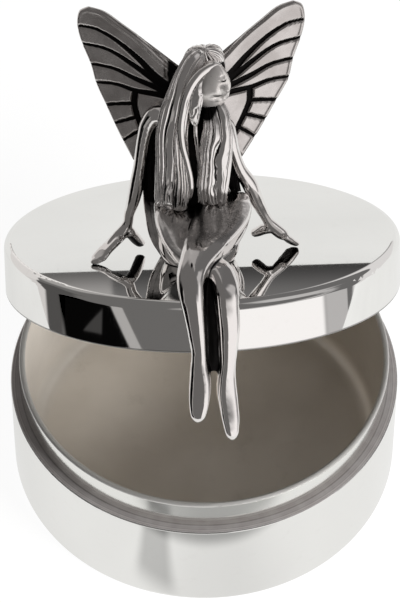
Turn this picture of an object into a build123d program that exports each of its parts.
from build123d import *
import os

# A small round keepsake box for a baby tooth. The deep cup stands on the table with its
# base at the origin. The shallow lid is hinged at the back and carries a seated winged
# figure cast in metal, whose legs hang over the lid's front edge.
# X runs across the box, the hinge lies at +Y, the figure faces -Y. Millimetres.

# Box
BOX_RADIUS = 16.0
BOX_WALL = 0.8
LEDGE_HEIGHT = 9.8
FOOT_ROUNDING = 0.7
LEDGE_ROUNDING = 0.12
BASE_THICKNESS = 0.6

# Inner cup, whose rim stands above the ledge as the collar that the lid closes over
COLLAR_HEIGHT = 2.7
LINER_WALL = 0.48
LINER_FLOOR = 0.4
LINER_COVE = 1.4
RIM_ROUNDING = 0.2

# Lid
LID_HEIGHT = 4.15
LID_WALL = 0.55
LID_TOP = 0.7
LID_ROUNDING = 0.6
LID_COVE = 0.5
LIP_ROUNDING = 0.12

# Hinge
HINGE_SETBACK = 0.96
HINGE_DROP = 0.3
KNUCKLE_RADIUS = 0.78
LID_KNUCKLE_LENGTH = 2.4
BOX_KNUCKLE_LENGTH = 2.2
KNUCKLE_GAP = 0.06
PIN_RADIUS = 0.38
PIN_CLEARANCE = 0.03
PIN_OVERHANG = 0.15
LEAF_THICKNESS = 0.4
LEAF_HEIGHT = 2.6
OPEN_ANGLE = 31.5

# Figure: its seat on the lid, its height from the seat to the crown, how far its knees reach
# out from the seat, and the gap between its shanks and the lid's wall
SEAT_OFFSET = -0.4
FIGURE_HEIGHT = 18.2
LEG_REACH_share = 0.511
LEG_CLEARANCE = 0.3

# Wings
WING_REACH = 9.2
WING_HEIGHT = 12.4
WING_LIFT = 7.9
WING_THICKNESS = 0.55
WING_SWEEP = 15.0
WING_SETBACK = 1.4
WING_GAP = 0.3
VEIN_DEPTH = 0.16

OVERRUN = 1.0

# Stations of the figure: x, y, z, half width, half depth, all in shares of FIGURE_HEIGHT,
# from the seat point on the lid. Y grows towards the hinge.
TORSO_shares = [
    (0.000, 0.030, -0.020, 0.150, 0.110),
    (0.000, 0.028, 0.070, 0.172, 0.120),
    (0.000, 0.015, 0.180, 0.185, 0.115),
    (0.000, 0.004, 0.280, 0.160, 0.096),
    (0.000, -0.006, 0.385, 0.128, 0.082),
    (-0.010, -0.010, 0.510, 0.138, 0.088),
    (-0.018, -0.010, 0.615, 0.144, 0.082),
    (-0.018, -0.012, 0.680, 0.116, 0.062),
    (0.006, -0.024, 0.738, 0.060, 0.052),
    (0.030, -0.050, 0.800, 0.050, 0.050),
]
LEFT_HAIR_shares = [
    (0.000, -0.085, 0.956, 0.049, 0.027),
    (-0.058, -0.110, 0.885, 0.058, 0.041),
    (-0.088, -0.115, 0.802, 0.058, 0.049),
    (-0.107, -0.121, 0.714, 0.060, 0.049),
    (-0.115, -0.124, 0.643, 0.062, 0.048),
    (-0.113, -0.126, 0.516, 0.069, 0.044),
    (-0.110, -0.126, 0.396, 0.078, 0.038),
    (-0.118, -0.124, 0.275, 0.070, 0.023),
]
RIGHT_HAIR_shares = [
    (0.063, -0.104, 0.775, 0.030, 0.028),
    (0.080, -0.118, 0.725, 0.047, 0.038),
    (0.084, -0.129, 0.659, 0.058, 0.044),
    (0.076, -0.133, 0.555, 0.065, 0.044),
    (0.066, -0.132, 0.445, 0.062, 0.040),
    (0.052, -0.125, 0.300, 0.055, 0.025),
]
BACK_HAIR_shares = [
    (0.033, 0.011, 0.951, 0.071, 0.038),
    (0.019, 0.052, 0.835, 0.107, 0.052),
    (0.000, 0.069, 0.714, 0.126, 0.044),
    (-0.016, 0.074, 0.577, 0.176, 0.034),
    (-0.022, 0.080, 0.440, 0.192, 0.033),
    (-0.025, 0.088, 0.330, 0.198, 0.033),
    (-0.016, 0.099, 0.220, 0.212, 0.036),
    (-0.014, 0.110, 0.110, 0.217, 0.036),
    (-0.011, 0.110, -0.012, 0.206, 0.033),
]
LEFT_ARM_shares = [
    (-0.170, -0.006, 0.680, 0.042),
    (-0.204, 0.003, 0.643, 0.037),
    (-0.226, 0.011, 0.577, 0.031),
    (-0.247, 0.033, 0.440, 0.029),
    (-0.261, 0.049, 0.363, 0.031),
    (-0.280, 0.071, 0.269, 0.0285),
    (-0.309, 0.104, 0.159, 0.022),
]
RIGHT_ARM_shares = [
    (0.115, -0.004, 0.634, 0.040),
    (0.138, 0.000, 0.575, 0.034),
    (0.160, 0.011, 0.504, 0.030),
    (0.189, 0.027, 0.419, 0.030),
    (0.226, 0.049, 0.334, 0.033),
    (0.259, 0.082, 0.244, 0.029),
    (0.303, 0.121, 0.140, 0.022),
]
LEFT_HAND_shares = [
    (-0.307, 0.103, 0.163, 0.022, 0.020),
    (-0.326, 0.104, 0.118, 0.038, 0.024),
    (-0.356, 0.098, 0.070, 0.040, 0.021),
    (-0.412, 0.082, 0.034, 0.032, 0.016),
    (-0.452, 0.072, 0.018, 0.020, 0.012),
    (-0.472, 0.066, 0.012, 0.010, 0.008),
]
RIGHT_HAND_shares = [
    (0.301, 0.120, 0.143, 0.022, 0.020),
    (0.320, 0.136, 0.108, 0.038, 0.024),
    (0.352, 0.150, 0.064, 0.040, 0.021),
    (0.390, 0.164, 0.036, 0.032, 0.016),
    (0.416, 0.172, 0.020, 0.020, 0.012),
    (0.434, 0.176, 0.013, 0.010, 0.008),
]
LEFT_THUMB_shares = [
    (-0.318, 0.104, 0.116, 0.022),
    (-0.268, 0.137, 0.066, 0.019),
    (-0.242, 0.154, 0.043, 0.014),
]
RIGHT_THUMB_shares = [
    (0.316, 0.134, 0.106, 0.022),
    (0.276, 0.150, 0.096, 0.019),
    (0.248, 0.160, 0.082, 0.014),
]
UPPER_THIGH_shares = [
    (0.126, 0.010, 0.190, 0.082),
    (0.120, -0.060, 0.186, 0.092),
    (0.100, -0.160, 0.174, 0.096),
    (0.068, -0.260, 0.168, 0.092),
    (0.012, -0.400, 0.160, 0.070),
    (-0.036, -0.518, 0.148, 0.060),
]
LOWER_THIGH_shares = [
    (-0.112, 0.010, 0.186, 0.078),
    (-0.108, -0.080, 0.168, 0.086),
    (-0.090, -0.180, 0.146, 0.088),
    (-0.046, -0.280, 0.122, 0.080),
    (0.030, -0.410, 0.100, 0.064),
    (0.084, -0.518, 0.096, 0.057),
]
UPPER_SHANK_shares = [
    (-0.036, -0.520, 0.146, 0.059, 0.059),
    (-0.034, -0.556, 0.060, 0.050, 0.048),
    (-0.032, -0.566, -0.020, 0.044, 0.046),
    (-0.028, -0.574, -0.120, 0.038, 0.036),
    (-0.024, -0.578, -0.209, 0.033, 0.031),
    (-0.027, -0.584, -0.280, 0.044, 0.042),
    (-0.032, -0.596, -0.370, 0.044, 0.033),
    (-0.036, -0.610, -0.440, 0.038, 0.025),
    (-0.041, -0.618, -0.488, 0.016, 0.014),
]
LOWER_SHANK_shares = [
    (0.084, -0.520, 0.095, 0.056, 0.056),
    (0.095, -0.556, 0.000, 0.049, 0.047),
    (0.099, -0.564, -0.080, 0.045, 0.045),
    (0.098, -0.570, -0.170, 0.038, 0.035),
    (0.093, -0.570, -0.258, 0.034, 0.031),
    (0.084, -0.570, -0.345, 0.044, 0.042),
    (0.094, -0.592, -0.440, 0.038, 0.031),
    (0.103, -0.612, -0.530, 0.030, 0.024),
    (0.104, -0.622, -0.578, 0.014, 0.012),
]
# Knees and shoulders: place and radius
JOINT_shares = [
    (-0.036, -0.520, 0.147, 0.0615),
    (0.084, -0.520, 0.0955, 0.0585),
    (-0.170, -0.006, 0.681, 0.045),
    (0.114, -0.004, 0.636, 0.043),
]
SKULL_shares = (0.040, -0.078, 0.876, 0.112, 0.114, 0.120)
FACE_shares = (0.068, -0.128, 0.834, 0.076, 0.072, 0.110)
FACE_TILT = 8.0
NOSE_shares = (0.098, -0.190, 0.822, 0.012, 0.020, 0.026)

# Wing outline from the root over the tip to the lower lobe: reach and height shares
WING_UPPER_EDGE_shares = [(0.150, 0.600), (0.272, 0.685), (0.445, 0.802), (0.620, 0.895), (0.783, 0.973)]
WING_OUTER_EDGE_shares = [(0.783, 0.973), (0.905, 0.995), (0.995, 0.930), (0.993, 0.840), (0.955, 0.742)]
WING_LOWER_EDGE_shares = [(0.955, 0.742), (0.891, 0.621), (0.850, 0.500), (0.761, 0.371), (0.609, 0.161), (0.478, 0.000)]
WING_INNER_EDGE_shares = [(0.478, 0.000), (0.330, 0.130), (0.200, 0.300), (0.100, 0.420)]

# Engraved veins: the points of each groove's centre line and its half widths at both ends
VEIN_shares = [
    ([(0.270, 0.520), (0.455, 0.665), (0.690, 0.800), (0.955, 0.872)], 0.040, 0.010),
    ([(0.280, 0.505), (0.520, 0.622), (0.740, 0.722), (0.935, 0.752)], 0.036, 0.010),
    ([(0.300, 0.490), (0.480, 0.520), (0.680, 0.592), (0.875, 0.622)], 0.030, 0.010),
    ([(0.320, 0.450), (0.500, 0.452), (0.660, 0.490), (0.835, 0.500)], 0.028, 0.010),
    ([(0.490, 0.372), (0.615, 0.366), (0.735, 0.352)], 0.020, 0.012),
    ([(0.455, 0.290), (0.560, 0.262), (0.655, 0.234)], 0.020, 0.012),
    ([(0.425, 0.210), (0.500, 0.170), (0.570, 0.130)], 0.020, 0.012),
]
SPINE_shares = ([(0.520, 0.440), (0.470, 0.330), (0.400, 0.180)], 0.022, 0.014)

BOX_BORE = BOX_RADIUS - BOX_WALL
LINER_BORE = BOX_BORE - LINER_WALL
LID_BORE = BOX_RADIUS - LID_WALL
LID_TOP_HEIGHT = LEDGE_HEIGHT + LID_HEIGHT
LINER_TOP = LEDGE_HEIGHT + COLLAR_HEIGHT
HINGE_Y = BOX_RADIUS + HINGE_SETBACK
HINGE_Z = LEDGE_HEIGHT - HINGE_DROP
PIN_BORE = PIN_RADIUS + PIN_CLEARANCE
SEAT_Y = LEG_REACH_share * FIGURE_HEIGHT - BOX_RADIUS - LEG_CLEARANCE
SEAT = Vector(SEAT_OFFSET, SEAT_Y, LID_TOP_HEIGHT)


def box_wall():
    """The outer wall: a tube with a rounded foot and a crisp ledge on top."""
    wall = Cylinder(BOX_RADIUS, LEDGE_HEIGHT, align=(Align.CENTER, Align.CENTER, Align.MIN))
    rings = wall.edges().filter_by(GeomType.CIRCLE).sort_by(Axis.Z)
    wall = fillet(rings[0], FOOT_ROUNDING)
    rings = wall.edges().filter_by(GeomType.CIRCLE).sort_by(Axis.Z)
    wall = fillet(rings[-1], LEDGE_ROUNDING)
    bore_height = LEDGE_HEIGHT + 2 * OVERRUN
    bore = Cylinder(BOX_BORE, bore_height, align=(Align.CENTER, Align.CENTER, Align.MIN))
    return wall - Pos(0, 0, -OVERRUN) * bore


def base_plate():
    """The disc that closes the foot of the wall, flush with the table."""
    return Cylinder(BOX_BORE, BASE_THICKNESS, align=(Align.CENTER, Align.CENTER, Align.MIN))


def inner_cup():
    """The drawn inner cup: its floor lies on the base plate and its rim is the collar."""
    height = LINER_TOP - BASE_THICKNESS
    cup = Cylinder(BOX_BORE, height, align=(Align.CENTER, Align.CENTER, Align.MIN))
    hollow = Cylinder(LINER_BORE, height, align=(Align.CENTER, Align.CENTER, Align.MIN))
    hollow = Pos(0, 0, LINER_FLOOR) * hollow
    foot = hollow.edges().filter_by(GeomType.CIRCLE).sort_by(Axis.Z)[0]
    cup = cup - fillet(foot, LINER_COVE)
    rim = cup.faces().sort_by(Axis.Z)[-1].edges()
    return Pos(0, 0, BASE_THICKNESS) * fillet(rim, RIM_ROUNDING)


def lid_shell():
    """The drawn lid: a flat top and a short wall that closes over the collar."""
    shell = Cylinder(BOX_RADIUS, LID_HEIGHT, align=(Align.CENTER, Align.CENTER, Align.MIN))
    top_edge = shell.edges().filter_by(GeomType.CIRCLE).sort_by(Axis.Z)[-1]
    shell = fillet(top_edge, LID_ROUNDING)
    depth = LID_HEIGHT - LID_TOP
    hollow = Cylinder(LID_BORE, depth + OVERRUN, align=(Align.CENTER, Align.CENTER, Align.MAX))
    hollow = Pos(0, 0, depth) * hollow
    ceiling = hollow.edges().filter_by(GeomType.CIRCLE).sort_by(Axis.Z)[-1]
    shell = shell - fillet(ceiling, LID_COVE)
    lip = shell.faces().sort_by(Axis.Z)[0].edges()
    return Pos(0, 0, LEDGE_HEIGHT) * fillet(lip, LIP_ROUNDING)


def knuckle(length, centre, above):
    """A hinge tube with its leaf, which lies on the round wall above or below the axis."""
    tube = Cylinder(KNUCKLE_RADIUS, length, rotation=(0, 90, 0))
    tube = Pos(centre, HINGE_Y, HINGE_Z) * tube
    low = LEDGE_HEIGHT + LIP_ROUNDING if above else LEDGE_HEIGHT - LEDGE_ROUNDING - LEAF_HEIGHT
    leaf = Cylinder(BOX_RADIUS + LEAF_THICKNESS, LEAF_HEIGHT, align=(Align.CENTER, Align.CENTER, Align.MIN))
    leaf = Pos(0, 0, low) * leaf
    window = Box(length, BOX_RADIUS, LEAF_HEIGHT + LEDGE_HEIGHT, align=(Align.CENTER, Align.MIN, Align.CENTER))
    leaf = leaf & (Pos(centre, HINGE_Y - BOX_RADIUS, low) * window)
    web_foot = HINGE_Z - KNUCKLE_RADIUS if not above else low
    web_height = KNUCKLE_RADIUS
    web = Box(length, HINGE_SETBACK, web_height, align=(Align.CENTER, Align.MAX, Align.MIN))
    web = Pos(centre, HINGE_Y, web_foot) * web
    joined = tube + leaf
    if not above:
        joined = joined + web
    core_height = LID_TOP_HEIGHT + OVERRUN
    core = Cylinder(BOX_RADIUS, core_height, align=(Align.CENTER, Align.CENTER, Align.MIN))
    pin_hole = Cylinder(PIN_BORE, length + OVERRUN, rotation=(0, 90, 0))
    return joined - core - Pos(centre, HINGE_Y, HINGE_Z) * pin_hole


def hinge_pin():
    """The pin through the three knuckles, held by the two outer ones."""
    length = LID_KNUCKLE_LENGTH + 2 * (BOX_KNUCKLE_LENGTH + KNUCKLE_GAP + PIN_OVERHANG)
    pin = Cylinder(PIN_RADIUS, length, rotation=(0, 90, 0))
    return Pos(0, HINGE_Y, HINGE_Z) * pin


def spot(share):
    """A place of the figure, from its shares of the height to millimetres."""
    return SEAT + Vector(*share[:3]) * FIGURE_HEIGHT


def limb(stations, level=False):
    """A smooth skin through ellipses along a line of stations."""
    places = [spot(station) for station in stations]
    sections = []
    for index, station in enumerate(stations):
        before = places[max(index - 1, 0)]
        after = places[min(index + 1, len(places) - 1)]
        along = Vector(0, 0, 1) if level else (after - before).normalized()
        plane = Plane(places[index], x_dir=(1, 0, 0), z_dir=along)
        half_width = station[3] * FIGURE_HEIGHT
        half_depth = station[-1] * FIGURE_HEIGHT
        sections.append(plane * Ellipse(half_width, half_depth))
    return loft(sections)


def blob(share, tilt=0.0):
    """An egg shape: its place and its three half sizes as shares of the figure's height."""
    sizes = [size * FIGURE_HEIGHT for size in share[3:]]
    egg = scale(Sphere(1), by=tuple(sizes))
    return Pos(spot(share)) * Rot(tilt, 0, 0) * egg


def figure():
    """The seated figure, one casting, cut flat where it sits and clear of the lid's wall."""
    casting = limb(TORSO_shares, level=True)
    for stations in (LEFT_HAIR_shares, RIGHT_HAIR_shares, BACK_HAIR_shares):
        casting = casting + limb(stations)
    for stations in (UPPER_THIGH_shares, LOWER_THIGH_shares, UPPER_SHANK_shares, LOWER_SHANK_shares):
        casting = casting + limb(stations)
    for stations in (LEFT_ARM_shares, RIGHT_ARM_shares, LEFT_HAND_shares, RIGHT_HAND_shares):
        casting = casting + limb(stations)
    for stations in (LEFT_THUMB_shares, RIGHT_THUMB_shares):
        casting = casting + limb(stations)
    for joint in JOINT_shares:
        casting = casting + Pos(spot(joint)) * Sphere(joint[3] * FIGURE_HEIGHT)
    casting = casting + blob(SKULL_shares) + blob(FACE_shares, FACE_TILT) + blob(NOSE_shares)
    lid_space = Cylinder(BOX_RADIUS + LEG_CLEARANCE, LID_TOP_HEIGHT, align=(Align.CENTER, Align.CENTER, Align.MIN))
    return casting - lid_space


def wing_point(share):
    """A point of the wing's outline in its own plane, from its root line."""
    return (share[0] * WING_REACH, share[1] * WING_HEIGHT)


def groove(points, root_half, tip_half):
    """The band of an engraved vein, wide at the root and narrow at the tip."""
    upper, lower = [], []
    for index, (reach, height) in enumerate(points):
        half = root_half + (tip_half - root_half) * index / (len(points) - 1)
        upper.append(wing_point((reach, height + half)))
        lower.append(wing_point((reach, height - half)))
    top = Spline(*upper)
    bottom = Spline(*lower)
    ends = Line(top @ 0, bottom @ 0) + Line(top @ 1, bottom @ 1)
    return make_face(Wire(edges=(top + bottom + ends).edges()))


def wing(side):
    """One wing, -1 left or 1 right: a thin plate swept back, with its veins engraved."""
    top = Spline(*[wing_point(share) for share in WING_UPPER_EDGE_shares])
    tip = Spline(*[wing_point(share) for share in WING_OUTER_EDGE_shares])
    low = Spline(*[wing_point(share) for share in WING_LOWER_EDGE_shares])
    inner = Spline(*[wing_point(share) for share in WING_INNER_EDGE_shares])
    root_top = Vector(WING_GAP, (top @ 0).Y)
    root_low = Vector(WING_GAP, (inner @ 1).Y)
    root = Line(inner @ 1, root_low) + Line(root_low, root_top) + Line(root_top, top @ 0)
    outline = make_face(Wire(edges=(top + tip + low + inner + root).edges()))
    plate = extrude(outline, WING_THICKNESS / 2, both=True)
    for points, root_half, tip_half in [*VEIN_shares, SPINE_shares]:
        band = extrude(groove(points, root_half, tip_half), VEIN_DEPTH + OVERRUN)
        plate = plate - Pos(0, 0, WING_THICKNESS / 2 - VEIN_DEPTH) * band
    root_place = SEAT + Vector(0, WING_SETBACK, WING_LIFT)
    outward = Vector(1, 0, 0).rotate(Axis.Z, WING_SWEEP)
    front = Vector(0, -1, 0).rotate(Axis.Z, WING_SWEEP)
    placed = Plane(root_place, x_dir=outward, z_dir=front) * plate
    if side < 0:
        placed = mirror(placed, Plane(SEAT, x_dir=(0, 1, 0), z_dir=(1, 0, 0)))
    return placed


def opened(shape):
    """Turns a piece of the lid about the hinge axis to the half-open rest position."""
    hinge = Axis((0, HINGE_Y, HINGE_Z), (1, 0, 0))
    return shape.rotate(hinge, -OPEN_ANGLE)


def all_parts():
    """Every piece by its name, where it stands with the lid at its rest position."""
    knuckle_place = (LID_KNUCKLE_LENGTH + BOX_KNUCKLE_LENGTH) / 2 + KNUCKLE_GAP
    left_wing = wing(-1)
    right_wing = wing(1)
    casting = figure() - left_wing - right_wing
    return {
        "box_wall": box_wall(),
        "base_plate": base_plate(),
        "inner_cup": inner_cup(),
        "box_knuckle_left": knuckle(BOX_KNUCKLE_LENGTH, -knuckle_place, above=False),
        "box_knuckle_right": knuckle(BOX_KNUCKLE_LENGTH, knuckle_place, above=False),
        "hinge_pin": hinge_pin(),
        "lid_shell": opened(lid_shell()),
        "lid_knuckle": opened(knuckle(LID_KNUCKLE_LENGTH, 0, above=True)),
        "seated_figure": opened(casting),
        "wing_left": opened(left_wing),
        "wing_right": opened(right_wing),
    }


os.makedirs("parts", exist_ok=True)
for name, shape in all_parts().items():
    export_step(shape, f"parts/{name}.step")
    print(name, len(shape.solids()), round(shape.volume, 3))
